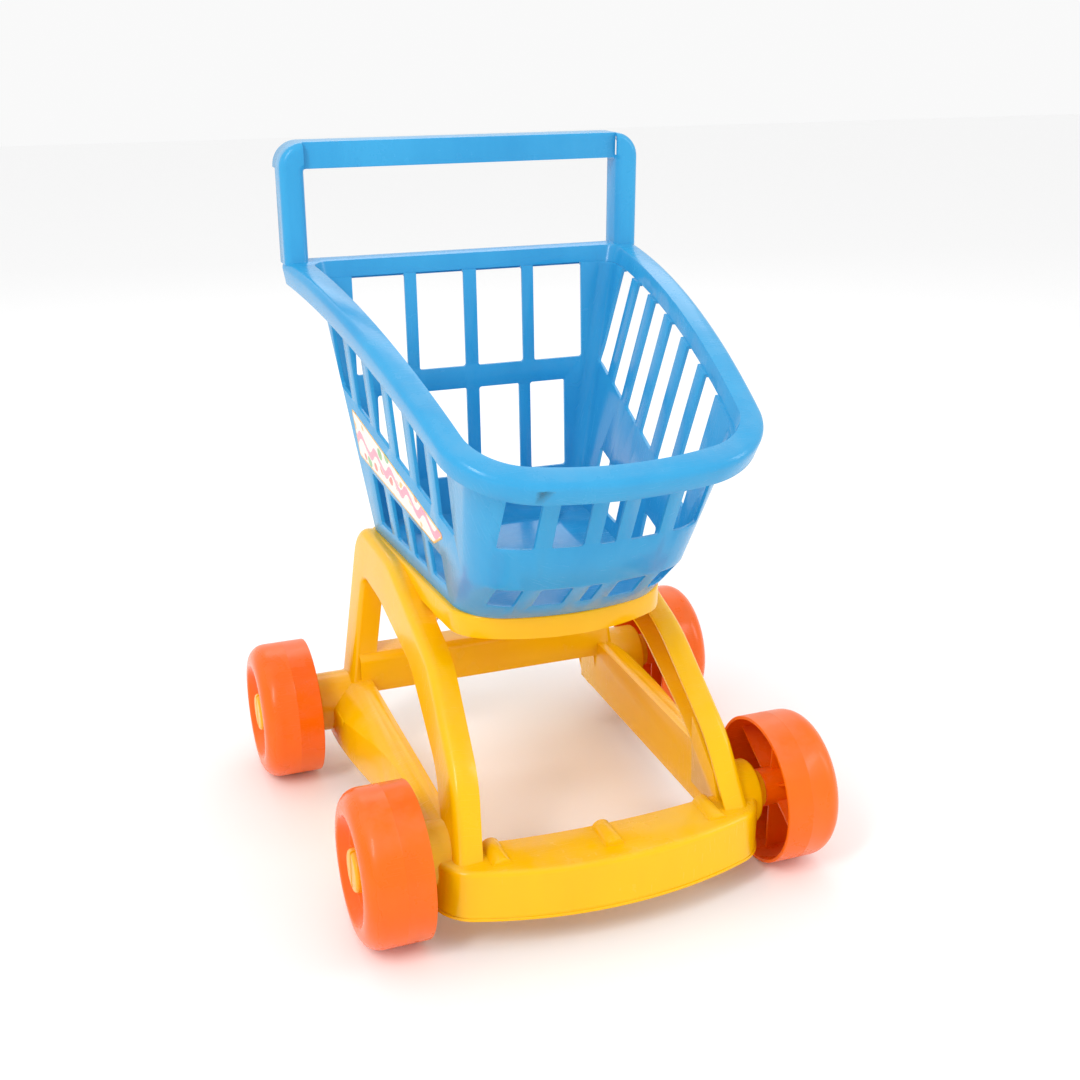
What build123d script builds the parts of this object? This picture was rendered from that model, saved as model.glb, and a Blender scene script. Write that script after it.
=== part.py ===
"""Toy shopping cart: a moulded basket with its handle, screwed to a moulded chassis on four free wheels.

Frame: millimetres, +Z up, the floor is Z = 0, the cart's front faces -Y and its handle is at +Y.
Lengths along Y are set out from the middle of the wheelbase; the whole cart is then slid along Y
so that the origin lies under the middle of its bounding box.
"""
from build123d import *
import os

# ---------------------------------------------------------------- driving dimensions
# wheels and axles
WHEEL_DIAMETER = 105.0
WHEEL_WIDTH = 44.0
WHEELBASE = 241.0
FRONT_RIM_X = 124.5        # |X| of the open edge of a front wheel
REAR_RIM_X = 143.0         # |X| of the open edge of a rear wheel
WHEEL_WALL = 2.4
SHOULDER_RADIUS = 13.0
DISH_DIAMETER = 68.0
DISH_DEPTH = 8.0
DISH_SLOPE = 2.5           # half of what the dish's wall leans out
HUB_DIAMETER = 27.0
PIN_DIAMETER = 20.0
PIN_HEAD_DIAMETER = 29.0
PIN_HEAD_HEIGHT = 6.4
PIN_SLOT = 2.4
PIN_BORE = 13.0
PIN_SLOT_DEPTH = 3.6
BEAD_HEIGHT = 0.9          # of the snap bead at the pin's inner end
BEAD_GAP = 0.3             # between the bead and the socket it snaps behind
PIN_TIP_LENGTH = 4.0
PIN_TIP_DRAW = 1.2         # the tip's radius is this much smaller
PIN_SPLIT_LENGTH = 14.0
PIN_SPLIT_WIDTH = 2.8
WHEEL_RIBS = 6
RIB_THICKNESS = 1.8
RIB_START = 14.0           # from the wheel's open edge to the ribs

# fits
RUNNING_FIT = 0.06         # radial, wheel on its pin
SOCKET_FIT = 0.05          # radial, pin in the chassis
END_FLOAT = 0.4            # wheel to pin head, and wheel to bracket
TUB_CLEARANCE = 0.3        # between the tub and the shoulders of the chassis

# chassis
WALL = 2.6
PLATFORM_TOP = 196.0
PLATFORM_FLANGE = 16.0
PLATFORM_REAR_Y = 126.0
PLATFORM_REAR_X = 90.0
PLATFORM_FRONT_X = 76.0
PLATFORM_CORNER_Y = -64.0
PLATFORM_FRONT_Y = -89.0
PLATFORM_CORNER_RADIUS = 30.0
PLATFORM_REAR_RADIUS = 14.0
PLATFORM_EDGE_RADIUS = 2.0
TRAY_RIB_THICKNESS = 2.0
SPLAY = 7.8                # lean of the side frames, degrees
TOE_IN = 1.9               # side frames run closer together at the front, degrees
FRAME_FOOT_X = 113.0       # outer face of a side frame at the rear axle, height FRAME_FOOT_Z
FRAME_FOOT_Z = 70.0
LEG_THICKNESS = 18.0       # of a side frame, across the cart
FRAME_BOTTOM = 52.0        # the side frames run down into the base frame to this height
REAR_LEG_DEPTH = 31.0      # of a rear leg, along the cart
LEG_ROUNDING = 6.5
WINDOW_ROUNDING = 4.0
# (y, z) corners of the arch's outer and inner curves, rear to front, with the radius that rounds each
ARCH_CURVE = ((48, 197, 60), (-60, 163, 90), (-128, 108, 70), (-152, 60, 0))
WINDOW_CURVE = ((60, 160, 40), (-22, 143, 70), (-92, 100, 60), (-122, 58, 0))
WINDOW_TOP = 163.0
ARCH_TOP_RADIUS = 24.0
WINDOW_TOP_RADIUS = 9.0
# the web behind a front leg's foot, and the one between the tray and a front leg
FIN_CORNERS = ((-106, 114), (-92, FRAME_BOTTOM), (-140, FRAME_BOTTOM), (-134, 84))
GUSSET_CORNERS = ((96, 192), (96, 193), (-52, 193), (-34, 178), (-20, 176), (0, 160), (60, 168))
GUSSET_RADII = (0, 0, 0, 5, 5, 8, 0)
RAIL_INNER_X = 97.0
RAIL_TOP = 75.0
RAIL_OUTER_Z = 46.0
RAIL_BOTTOM = 30.0
RAIL_REAR_X = 128.0
RAIL_WAIST_X = 113.0
RAIL_WAIST_Y = -55.0
RAIL_STRAIGHT = 60.0       # straight length of a rail's outside, from the rear
RAIL_LEDGE = 4.0           # flat width along the rail's inner edge
BUMPER_FRONT_Y = -178.0
BUMPER_BOW = 24.0
BUMPER_HALF_WIDTH = 117.0
BUMPER_CORNER_RADIUS = 30.0
BUMPER_DEPTH = 42.0
BUMPER_TOP = 60.0
BUMPER_BOTTOM = 24.0
BUMPER_EDGE_RADIUS = 4.0
BUMPER_REAR_SWEEP = 8.0    # the rear edge bows back by this much at the rails
BUMPER_LIP = 1.2           # the bottom lip stands out by this much
BUMPER_LIP_HEIGHT = 2.0
HUMP_X = 77.0
HUMP_RADIUS = 7.0
HUMP_SINK = 2.5            # the ridges' centre line lies this much below the bar's top
HUMP_SHARE = 0.62          # length of a ridge, as a share of the bar's depth
HUMP_INSET = 1.2           # from a ridge's end to the bar's rear edge
CROSS_RAIL_FRONT_Y = 101.0
CROSS_RAIL_TOP = 96.0
CROSS_RAIL_BOTTOM = 64.0
CROSS_RAIL_DEPTH = 24.0
CROSS_RAIL_ROUNDING = 7.0
CROSS_RAIL_OVERLAP = 8.0   # each end runs this far into the side rail
BRACKET_RADIUS = 23.0
BRACKET_EDGE_RADIUS = 3.0
BRACKET_STANDOFF = 3.0     # the shell ends this far inside the wheel's open edge
SOCKET_DEPTH = 24.0
BEAD_ROOM = 2.2            # radial room for the pin's bead, behind the socket
BEAD_ROOM_DEPTH = 8.0

# basket
BASKET_WALL = 2.5
BASKET_HEIGHT_MAX = 420.0  # where the tub's construction ends, above the rim
KNUCKLE_Z = 231.0          # the wall leans out more below this height
TUB_HALF_WIDTH = 78.0      # outer half width at height TUB_REF_Z, Y = 0
TUB_REF_Z = 200.0
TUB_FLARE = 0.165          # half width gained per unit of height
TUB_TAPER = 0.075          # half width gained per unit of Y
TUB_REAR_Y = 125.0         # rear wall at TUB_REF_Z
TUB_REAR_LEAN = 0.045
TUB_FRONT_Y = -89.0        # front wall's middle at the floor
TUB_KNUCKLE_Y = -126.0     # front wall's middle at KNUCKLE_Z
TUB_FRONT_FLARE = 0.46     # above the knuckle
TUB_BOW = 16.0
TUB_FRONT_RADIUS = 40.0
TUB_REAR_RADIUS = 13.0
RIM_REAR_TOP = 401.5       # at Y = RIM_REAR_Y
RIM_REAR_Y = 150.0
RIM_MIDDLE_TOP = 381.5     # at Y = 0
RIM_FRONT_TOP = 317.0
RIM_FRONT_Y = -182.0
RIM_OVERHANG = 18.0        # at the rear; the sides narrow to the front value
RIM_FRONT_OVERHANG = 16.0
RIM_HEIGHT = 17.0
RIM_REAR_RADIUS = 8.0
RIM_FRONT_RADIUS = 58.0
JOG = 2.0                  # the rim's inner face stands this much outside the wall
RIM_EDGE_RADIUS = 5.0
LEDGE_DROP = 12.0          # inner face of the rim, down to the ledge where the slots start

# slots of the tub
SIDE_SLOT_WIDTH = 24.0
SIDE_SLOT_PITCH = 36.0
SIDE_SLOT_FIRST_Y = 109.0
SIDE_SLOTS = 6
SIDE_SLOT_LEAN = 0.22
LOWER_SLOT_LEAN = 0.1
SIDE_SLOT_REACH = 120.0    # past the rim, which ends the slots
BAND_REF_Y = 100.0
BAND_TOP_REAR = 306.0      # sill of the upper side slots at BAND_REF_Y
BAND_SLOPE = 0.26
BAND_HEIGHT = 52.0
BAND_TAPER = 0.11          # the band is lower towards the front
LOWER_SLOT_BOTTOM = 209.0
FRONT_SLOT_SILL = 264.0
FRONT_SLOT_EDGES = ((0.0, 5.5), (15.5, 36.0), (46.5, 68.0))
FRONT_LOWER_BOTTOM = 211.0
FRONT_LOWER_TOP = 230.0
FRONT_LOWER_EDGES = ((0.0, 4.5), (15.5, 36.0), (47.0, 63.0))
REAR_SLOT_EDGES = ((5.0, 42.0), (51.0, 91.0))
REAR_LOWER_EDGES = ((5.0, 38.0), (47.0, 76.0))
REAR_SILL = 315.0
REAR_LOWER_TOP = 298.0
REAR_LOWER_BOTTOM = 228.0
SLOT_RADIUS = 2.0
TUB_CORNER_CLEAR = -60.0   # the front slots are cut through everything ahead of this Y
TUB_REAR_CLEAR = 95.0      # the rear slots are cut through everything behind this Y

# handle, one moulding with the basket
HANDLE_TOP = 484.5
HANDLE_HALF_WIDTH = 138.5
UPRIGHT_WIDTH = 17.5
UPRIGHT_FRONT_Y = 133.0
UPRIGHT_DEPTH = 20.0
CROSSBAR_HEIGHT = 18.5
CROSSBAR_SETBACK = 5.0     # its front face, behind the uprights' front
CROSSBAR_LIP = 9.0         # the crossbar reaches this much further back than the uprights
HANDLE_CORNER_RADIUS = 18.0
HANDLE_EDGE_RADIUS = 5.0
HANDLE_OPENING_RADIUS = 2.0
HANDLE_WALL = 2.6

# stickers and screws
LABEL_THICKNESS = 0.2
LABEL_GAP = 0.02
LABEL_CORNERS = ((104.0, 297.5), (108.0, 259.0), (-36.0, 237.0), (-62.0, 250.5))
LABEL_ROUNDING = 3.0
SCREW_X = 52.0
SCREW_FRONT_Y = -45.0
SCREW_REAR_Y = 85.0
SCREW_DIAMETER = 3.5
SCREW_HEAD_DIAMETER = 7.5
SCREW_HEAD_HEIGHT = 2.2
SCREW_LENGTH = 13.0
BOSS_DIAMETER = 9.0
BOSS_HEIGHT = 9.0
BOSS_SINK = 0.5            # bosses, pads and ribs run this far into the wall they stand on
PAD_HEIGHT = 8.5           # under the tray, where a screw head seats
SCREW_HOLE_PLAY = 0.3      # radial, screw in the tray

# ---------------------------------------------------------------- worked-out values
WHEEL_RADIUS = WHEEL_DIAMETER / 2
AXLE_Z = WHEEL_RADIUS
FRONT_AXLE_Y = -WHEELBASE / 2
REAR_AXLE_Y = WHEELBASE / 2
PIN_RADIUS = PIN_DIAMETER / 2
DISH_FLOOR = WHEEL_WIDTH - DISH_DEPTH
HUB_START = 4.0            # from the wheel's open edge to the inner end of its hub
BRACKET_FACE = HUB_START - END_FLOAT
BASKET_FLOOR_Z = PLATFORM_TOP    # the basket rests on the tray, face to face
BIG = 1000.0

PARTS = {}


def keep(name, shape):
    """Note a finished piece under its node name."""
    PARTS[name] = shape


def block(x0, x1, y0, y1, z0, z1):
    """A box given by its limits."""
    centre = ((x0 + x1) / 2, (y0 + y1) / 2, (z0 + z1) / 2)
    return Pos(*centre) * Box(x1 - x0, y1 - y0, z1 - z0)


def both_sides(shape):
    """The shape and its mirror image across the cart's middle plane."""
    return shape + mirror(shape, about=Plane.YZ)


def side_view(points, radii, width):
    """A closed outline in the Y-Z plane, rounded at its corners, extruded from X = 0 to X = width."""
    outline = FilletPolyline(*[(0, y, z) for y, z in points], radius=radii, close=True)
    return extrude(make_face(outline.edges()), amount=width, dir=(1, 0, 0))


def axle_cylinder(radius, x0, x1, y):
    """A cylinder along X at axle height."""
    turned = Rot(0, 90, 0) * Cylinder(radius, x1 - x0)
    return Pos((x0 + x1) / 2, y, AXLE_Z) * turned


# ---------------------------------------------------------------- wheels and pins
def revolved(points, radii):
    """Turn an outline of (distance along the axle, radius) about the X axis."""
    outline = FilletPolyline(*[(t, 0, r) for t, r in points], radius=radii, close=True)
    return revolve(make_face(outline.edges()), axis=Axis.X)


def wheel():
    """One wheel about the X axis: open side at X = 0, dished outer face at X = WHEEL_WIDTH."""
    outer = WHEEL_RADIUS
    inner = WHEEL_RADIUS - WHEEL_WALL
    dish = DISH_DIAMETER / 2
    back = DISH_FLOOR - WHEEL_WALL
    hub = HUB_DIAMETER / 2
    bore = PIN_RADIUS + RUNNING_FIT
    slope = DISH_SLOPE
    face_back = WHEEL_WIDTH - WHEEL_WALL
    points = [
        (0, inner), (0, outer), (WHEEL_WIDTH, outer), (WHEEL_WIDTH, dish + slope),
        (DISH_FLOOR, dish - slope), (DISH_FLOOR, bore), (HUB_START, bore), (HUB_START, hub), (back, hub),
        (back, dish - slope - 1), (face_back, dish + slope - 0.5), (face_back, inner),
    ]
    inner_shoulder = SHOULDER_RADIUS - WHEEL_WALL
    radii = [0.5, 0.8, SHOULDER_RADIUS, 3.0, 2.0, 0.4, 0.4, 0.6, 1.0, 2.0, 2.0, inner_shoulder]
    body = revolved(points, radii)
    rib_outer = inner + WHEEL_WALL / 2
    half = RIB_THICKNESS / 2
    rib = block(RIB_START, back + WHEEL_WALL / 2, -half, half, hub - 1.0, rib_outer - 1.0)
    clear = [(0, hub - 2), (0, rib_outer), (face_back - 8, rib_outer), (back + 1, hub - 2)]
    rib = rib & revolved(clear, [0, 0, 6, 0])
    for index in range(WHEEL_RIBS):
        body = body + Rot(360 / WHEEL_RIBS * index, 0, 0) * rib
    return body


def wheel_pin():
    """Split pin along X: its socket end at negative X, its slotted head beyond the dish floor."""
    head_back = DISH_FLOOR + END_FLOAT
    head_front = head_back + PIN_HEAD_HEIGHT
    bead_start = BRACKET_FACE - SOCKET_DEPTH - BEAD_GAP
    tip = bead_start - PIN_TIP_LENGTH
    bead = PIN_RADIUS + BEAD_HEIGHT
    head = PIN_HEAD_DIAMETER / 2
    points = [
        (tip, 0), (tip, PIN_RADIUS - PIN_TIP_DRAW), (bead_start - 1.0, bead), (bead_start, bead),
        (bead_start, PIN_RADIUS), (head_back, PIN_RADIUS), (head_back, head), (head_front, head),
        (head_front, 0),
    ]
    radii = [0, 0.8, 0, 0, 0, 0, 0.8, 2.4, 0]
    pin = revolved(points, radii)
    bore = Rot(0, 90, 0) * Cylinder(PIN_BORE / 2, head_back - tip)
    hollow = Pos((tip + head_back) / 2 - 2, 0, 0) * bore
    half = PIN_SPLIT_WIDTH / 2
    split = block(tip - 1, bead_start + PIN_SPLIT_LENGTH, -half, half, -PIN_DIAMETER, PIN_DIAMETER)
    half = PIN_SLOT / 2
    slot = block(head_front - PIN_SLOT_DEPTH, head_front + 1, -half, half, -head, head)
    return pin - hollow - split - slot


def add_wheels():
    """Four identical wheels, each on its own pin, the front pair set closer together."""
    one_wheel = wheel()
    one_pin = wheel_pin()
    corners = (
        ("front_left", -1, FRONT_RIM_X, FRONT_AXLE_Y),
        ("front_right", 1, FRONT_RIM_X, FRONT_AXLE_Y),
        ("rear_left", -1, REAR_RIM_X, REAR_AXLE_Y),
        ("rear_right", 1, REAR_RIM_X, REAR_AXLE_Y),
    )
    for corner, side, rim_x, axle_y in corners:
        turn = Rot(0, 0, 0) if side > 0 else Rot(0, 0, 180)
        place = Pos(side * rim_x, axle_y, AXLE_Z) * turn
        keep("wheel_" + corner, place * one_wheel)
        keep("wheel_pin_" + corner, place * one_pin)


# ---------------------------------------------------------------- chassis
def platform_outline(inset):
    """Plan of the tray under the basket, with a bowed front edge."""
    rear_x = PLATFORM_REAR_X - inset
    front_x = PLATFORM_FRONT_X - inset
    rear_y = PLATFORM_REAR_Y - inset
    front_y = PLATFORM_FRONT_Y + inset
    corner_y = PLATFORM_CORNER_Y + inset
    sides = Polyline((front_x, corner_y), (rear_x, rear_y), (-rear_x, rear_y), (-front_x, corner_y))
    front = ThreePointArc((-front_x, corner_y), (0, front_y), (front_x, corner_y))
    face = make_face(sides.edges() + front.edges())
    face = fillet(face.vertices().filter_by(lambda v: v.Y < 0), PLATFORM_CORNER_RADIUS - inset)
    rear_corners = face.vertices().filter_by(lambda v: v.Y > rear_y - 0.01)
    return fillet(rear_corners, PLATFORM_REAR_RADIUS - inset)


def platform():
    """The tray: a top plate with a flange hanging from its edge all round."""
    base = PLATFORM_TOP - PLATFORM_FLANGE
    outer = Pos(0, 0, base) * extrude(platform_outline(0), amount=PLATFORM_FLANGE)
    outer = fillet(outer.edges().group_by(Axis.Z)[-1], PLATFORM_EDGE_RADIUS)
    inner = Pos(0, 0, base - 1) * extrude(platform_outline(WALL), amount=PLATFORM_FLANGE - WALL + 1)
    tray = outer - inner
    low = PLATFORM_TOP - PAD_HEIGHT + BOSS_SINK
    high = PLATFORM_TOP - 1
    half = TRAY_RIB_THICKNESS / 2
    tray = tray + block(-half, half, PLATFORM_FRONT_Y + 4, PLATFORM_REAR_Y - 2, low, high)
    reach = PLATFORM_FRONT_X - 6
    for y in (SCREW_FRONT_Y, SCREW_REAR_Y):
        tray = tray + block(-reach, reach, y - half, y + half, low, high)
    pad_height = PAD_HEIGHT - BOSS_SINK
    pad_middle = PLATFORM_TOP - PAD_HEIGHT + pad_height / 2
    for x, y in screw_places():
        tray = tray + Pos(x, y, pad_middle) * Cylinder(BOSS_DIAMETER / 2 + 1, pad_height)
    return tray


def frame_outline():
    """Side view of a side frame without its window: rear leg, shoulder and curved front leg."""
    rear = REAR_AXLE_Y + REAR_LEG_DEPTH / 2
    top = PLATFORM_TOP + 3.0
    front = ARCH_CURVE[-1][0]
    curve = [(y, z) for y, z, radius in ARCH_CURVE]
    points = [(rear, FRAME_BOTTOM), (rear, top), *curve, (front, FRAME_BOTTOM)]
    radii = [0, ARCH_TOP_RADIUS, *[radius for y, z, radius in ARCH_CURVE], 0]
    return side_view(points, radii, LEG_THICKNESS)


def window_outline():
    """Side view of the window between the legs of a side frame."""
    leg_front = REAR_AXLE_Y - REAR_LEG_DEPTH / 2
    bottom = FRAME_BOTTOM - 12
    curve = [(y, z) for y, z, radius in WINDOW_CURVE]
    points = [(leg_front, bottom), (leg_front, WINDOW_TOP), *curve, (WINDOW_CURVE[-1][0], bottom)]
    radii = [0, WINDOW_TOP_RADIUS, *[radius for y, z, radius in WINDOW_CURVE], 0]
    return side_view(points, radii, LEG_THICKNESS)


def place_side_frame(shape):
    """Lean a flat side frame outwards and toe it in, its outer face where the driving sizes put it."""
    flat = Pos(-LEG_THICKNESS, 0, -FRAME_FOOT_Z) * shape
    toed = Pos(0, REAR_AXLE_Y, 0) * Rot(0, 0, -TOE_IN) * Pos(0, -REAR_AXLE_Y, 0)
    return Pos(FRAME_FOOT_X, 0, FRAME_FOOT_Z) * toed * Rot(0, -SPLAY, 0) * flat


def side_frame():
    """Rear leg, shoulder and front leg in one hollow arch that is open towards the inside."""
    outer = frame_outline()
    window = window_outline()
    plain = (outer - window).faces().sort_by(Axis.X)[-1]
    hollow = extrude(offset(plain, amount=-WALL), amount=LEG_THICKNESS, dir=(-1, 0, 0))
    above = FRAME_BOTTOM + 1
    rim = outer.faces().sort_by(Axis.X)[-1].edges().filter_by(lambda e: e.center().Z > above + 5)
    arch = fillet(rim, LEG_ROUNDING) - window
    window_faces = window.faces().sort_by(Axis.X)[-1].edges()
    places = [e.center() for e in window_faces if e.center().Z > above + 6]
    inner_rim = [e for e in arch.edges() if any((e.center() - c).length < 0.6 for c in places)]
    arch = fillet(inner_rim, WINDOW_ROUNDING) - Pos(-WALL, 0, 0) * hollow
    fin = side_view(FIN_CORNERS, 0, WALL)
    return place_side_frame(arch + fin)


def rail_section(inset):
    """Section of a side rail in the X-Z plane: high inner edge, falling in a curve to the outside."""
    inner = RAIL_INNER_X + inset
    outer = RAIL_REAR_X + 6 - inset
    top = RAIL_TOP - inset
    bottom = RAIL_BOTTOM if inset == 0 else RAIL_BOTTOM - 1
    low = RAIL_OUTER_Z - inset
    ledge = (inner + RAIL_LEDGE, 0, top)
    lines = Polyline((outer, 0, low), (outer, 0, bottom), (inner, 0, bottom), (inner, 0, top), ledge)
    middle = ((inner + RAIL_LEDGE + outer) / 2 + 3, 0, (top + low) / 2 + 5)
    curve = ThreePointArc(ledge, middle, (outer, 0, low))
    face = make_face(lines.edges() + curve.edges())
    length = REAR_AXLE_Y + REAR_LEG_DEPTH / 2 - FRONT_AXLE_Y
    return Pos(0, FRONT_AXLE_Y, 0) * extrude(face, amount=length, dir=(0, 1, 0))


def rail_plan(inset):
    """Plan of a side rail: straight inside, waisted outside, extruded to the full height."""
    rear = REAR_AXLE_Y + REAR_LEG_DEPTH / 2 - inset
    front = FRONT_AXLE_Y - 8 + inset
    inner = RAIL_INNER_X + inset
    rear_x = RAIL_REAR_X - inset
    front_x = BUMPER_HALF_WIDTH - inset
    side = Spline(
        (rear_x, rear), (rear_x, rear - RAIL_STRAIGHT), (RAIL_WAIST_X - inset, RAIL_WAIST_Y),
        (front_x, FRONT_AXLE_Y + 6), (front_x, front),
    )
    ends = Polyline((front_x, front), (inner, front), (inner, rear), (rear_x, rear))
    return extrude(make_face(side.edges() + ends.edges()), amount=200)


def side_rail():
    """A side rail: a curved shell that joins the front and rear axle brackets, open below."""
    return (rail_section(0) & rail_plan(0)) - (rail_section(WALL) & rail_plan(WALL))


def bumper_outline(inset):
    """Plan of the front bar, bowed forwards on both of its long edges."""
    half = BUMPER_HALF_WIDTH - inset
    front = BUMPER_FRONT_Y + inset
    back = BUMPER_FRONT_Y + BUMPER_DEPTH - inset
    corner_y = BUMPER_FRONT_Y + BUMPER_BOW
    rear_corner_y = FRONT_AXLE_Y + 4
    inner_half = RAIL_INNER_X
    swept = back + BUMPER_REAR_SWEEP
    front_arc = ThreePointArc((half, corner_y), (0, front), (-half, corner_y))
    rear_arc = ThreePointArc((inner_half, swept), (0, back), (-inner_half, swept))
    side = ((inner_half, swept), (inner_half, rear_corner_y), (half, rear_corner_y), (half, corner_y))
    right = Polyline(*side)
    left = Polyline(*[(-x, y) for x, y in side])
    face = make_face(front_arc.edges() + left.edges() + rear_arc.edges() + right.edges())
    corners = face.vertices().filter_by(lambda v: abs(v.Y - corner_y) < 0.01)
    return fillet(corners, BUMPER_CORNER_RADIUS - inset)


def bumper():
    """The front bar: a hollow bowed shell with three low ridges across its rear half."""
    height = BUMPER_TOP - BUMPER_BOTTOM
    outer = Pos(0, 0, BUMPER_BOTTOM) * extrude(bumper_outline(0), amount=height)
    behind = BUMPER_FRONT_Y + BUMPER_BOW + 4
    front_edges = outer.edges().group_by(Axis.Z)[-1].filter_by(lambda e: e.center().Y < behind)
    outer = fillet(front_edges, BUMPER_EDGE_RADIUS)
    inner = Pos(0, 0, BUMPER_BOTTOM - 1) * extrude(bumper_outline(WALL), amount=height - WALL + 1)
    lip_outline = bumper_outline(-BUMPER_LIP) - bumper_outline(WALL)
    lip = Pos(0, 0, BUMPER_BOTTOM) * extrude(lip_outline, amount=BUMPER_LIP_HEIGHT)
    bar = outer + lip - inner
    length = BUMPER_DEPTH * HUMP_SHARE
    for x in (-HUMP_X, 0, HUMP_X):
        sweep = BUMPER_REAR_SWEEP * (x / RAIL_INNER_X) ** 2
        rear_y = BUMPER_FRONT_Y + BUMPER_DEPTH + sweep - HUMP_INSET
        lying = Rot(90, 0, 0) * Cylinder(HUMP_RADIUS, length)
        ridge = Pos(x, rear_y - length / 2, BUMPER_TOP - HUMP_SINK) * lying
        ridge = ridge - block(-BIG, BIG, -BIG, BIG, -BIG, BUMPER_TOP - WALL)
        bar = bar + ridge
    return bar


def cross_rail():
    """The rear cross rail between the rear legs, a channel open to the rear and below."""
    half = RAIL_INNER_X + CROSS_RAIL_OVERLAP
    front = CROSS_RAIL_FRONT_Y
    back = front + CROSS_RAIL_DEPTH
    low = CROSS_RAIL_BOTTOM
    outer = block(-half, half, front, back, low, CROSS_RAIL_TOP)
    inner = block(-half - 1, half + 1, front + WALL, back + 1, low - 1, CROSS_RAIL_TOP - WALL)
    top_front = outer.edges().filter_by(Axis.X).sort_by(lambda e: e.center().Y - e.center().Z)[0]
    outer = fillet(top_front, CROSS_RAIL_ROUNDING)
    top_front = inner.edges().filter_by(Axis.X).sort_by(lambda e: e.center().Y - e.center().Z)[0]
    inner = fillet(top_front, CROSS_RAIL_ROUNDING - WALL)
    return outer - inner


def bracket(rim_x, axle_y):
    """An axle bracket: a round hollow shell that carries a collar reaching out to the wheel's hub."""
    shell_x = rim_x - BRACKET_STANDOFF
    shell = axle_cylinder(BRACKET_RADIUS, RAIL_INNER_X, shell_x, axle_y)
    shell = fillet(shell.faces().sort_by(Axis.X)[-1].edges(), BRACKET_EDGE_RADIUS)
    hollow = axle_cylinder(BRACKET_RADIUS - WALL, RAIL_INNER_X - 1, shell_x - WALL, axle_y)
    face_x = rim_x + BRACKET_FACE
    tube = axle_cylinder(HUB_DIAMETER / 2, face_x - SOCKET_DEPTH, face_x, axle_y)
    return shell - hollow + tube


def socket(rim_x, axle_y):
    """The space for a wheel pin: its bore, and the room behind it for the snap bead."""
    face_x = rim_x + BRACKET_FACE
    bore = axle_cylinder(PIN_RADIUS + SOCKET_FIT, face_x - SOCKET_DEPTH - 1, face_x + 1, axle_y)
    inner_end = face_x - SOCKET_DEPTH
    behind = axle_cylinder(PIN_RADIUS + BEAD_ROOM, inner_end - BEAD_ROOM_DEPTH, inner_end, axle_y)
    return bore + behind


def gusset():
    """The sloping web between the tray's side and the front leg, notched at its front end."""
    web = side_view(GUSSET_CORNERS, GUSSET_RADII, WALL)
    return Pos(PLATFORM_FRONT_X - 2, 0, 0) * web


def chassis():
    """The whole chassis moulding."""
    body = platform() + both_sides(side_frame()) + both_sides(side_rail()) + bumper() + cross_rail()
    for rim_x, axle_y in ((FRONT_RIM_X, FRONT_AXLE_Y), (REAR_RIM_X, REAR_AXLE_Y)):
        body = body + both_sides(bracket(rim_x, axle_y))
    body = body + both_sides(gusset())
    for rim_x, axle_y in ((FRONT_RIM_X, FRONT_AXLE_Y), (REAR_RIM_X, REAR_AXLE_Y)):
        body = body - both_sides(socket(rim_x, axle_y))
    for x, y in screw_places():
        body = body - Pos(x, y, PLATFORM_TOP) * Cylinder(SCREW_DIAMETER / 2 + SCREW_HOLE_PLAY, 4 * PAD_HEIGHT)
    return body - tub_block(TUB_CLEARANCE, PLATFORM_TOP, 0)


# ---------------------------------------------------------------- basket
def tub_half_width(y, z):
    """Outer half width of the tub."""
    return TUB_HALF_WIDTH + TUB_FLARE * (z - TUB_REF_Z) + TUB_TAPER * y


def front_y_at(z):
    """Middle of the tub's front wall, outer face, at height z."""
    if z < KNUCKLE_Z:
        share = (z - BASKET_FLOOR_Z) / (KNUCKLE_Z - BASKET_FLOOR_Z)
        return TUB_FRONT_Y + share * (TUB_KNUCKLE_Y - TUB_FRONT_Y)
    return TUB_KNUCKLE_Y - TUB_FRONT_FLARE * (z - KNUCKLE_Z)


def tub_outline(z, grow, front_grow, rear_radius, front_radius):
    """Plan of the tub at height z, grown by grow at its rear and by front_grow at its front."""
    rear_y = TUB_REAR_Y + TUB_REAR_LEAN * (z - TUB_REF_Z) + grow
    front = front_y_at(z) - front_grow
    corner_y = front + TUB_BOW
    rear_x = tub_half_width(rear_y, z) + grow
    front_x = tub_half_width(corner_y, z) + front_grow
    sides = Polyline((front_x, corner_y, z), (rear_x, rear_y, z), (-rear_x, rear_y, z), (-front_x, corner_y, z))
    arc = ThreePointArc((-front_x, corner_y, z), (0, front, z), (front_x, corner_y, z))
    face = make_face(sides.edges() + arc.edges())
    face = fillet(face.vertices().filter_by(lambda v: v.Y < 0), front_radius)
    return fillet(face.vertices().filter_by(lambda v: v.Y > rear_y - 0.01), rear_radius)


def flared(grow, front_grow, rear_radius, front_radius):
    """The tub's upper stage grown by grow, from the knuckle up past the rim."""
    heights = (KNUCKLE_Z, BASKET_HEIGHT_MAX)
    outlines = [tub_outline(z, grow, front_grow, rear_radius, front_radius) for z in heights]
    return loft(outlines, ruled=True)


def tub_block(grow, low, shrink):
    """The tub as a solid block flared in two stages; shrink is taken off its corner radii."""
    radii = (TUB_REAR_RADIUS - shrink, TUB_FRONT_RADIUS - shrink)
    lower = loft([tub_outline(z, grow, grow, *radii) for z in (low, KNUCKLE_Z)], ruled=True)
    return lower + flared(grow, grow, *radii)


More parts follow.
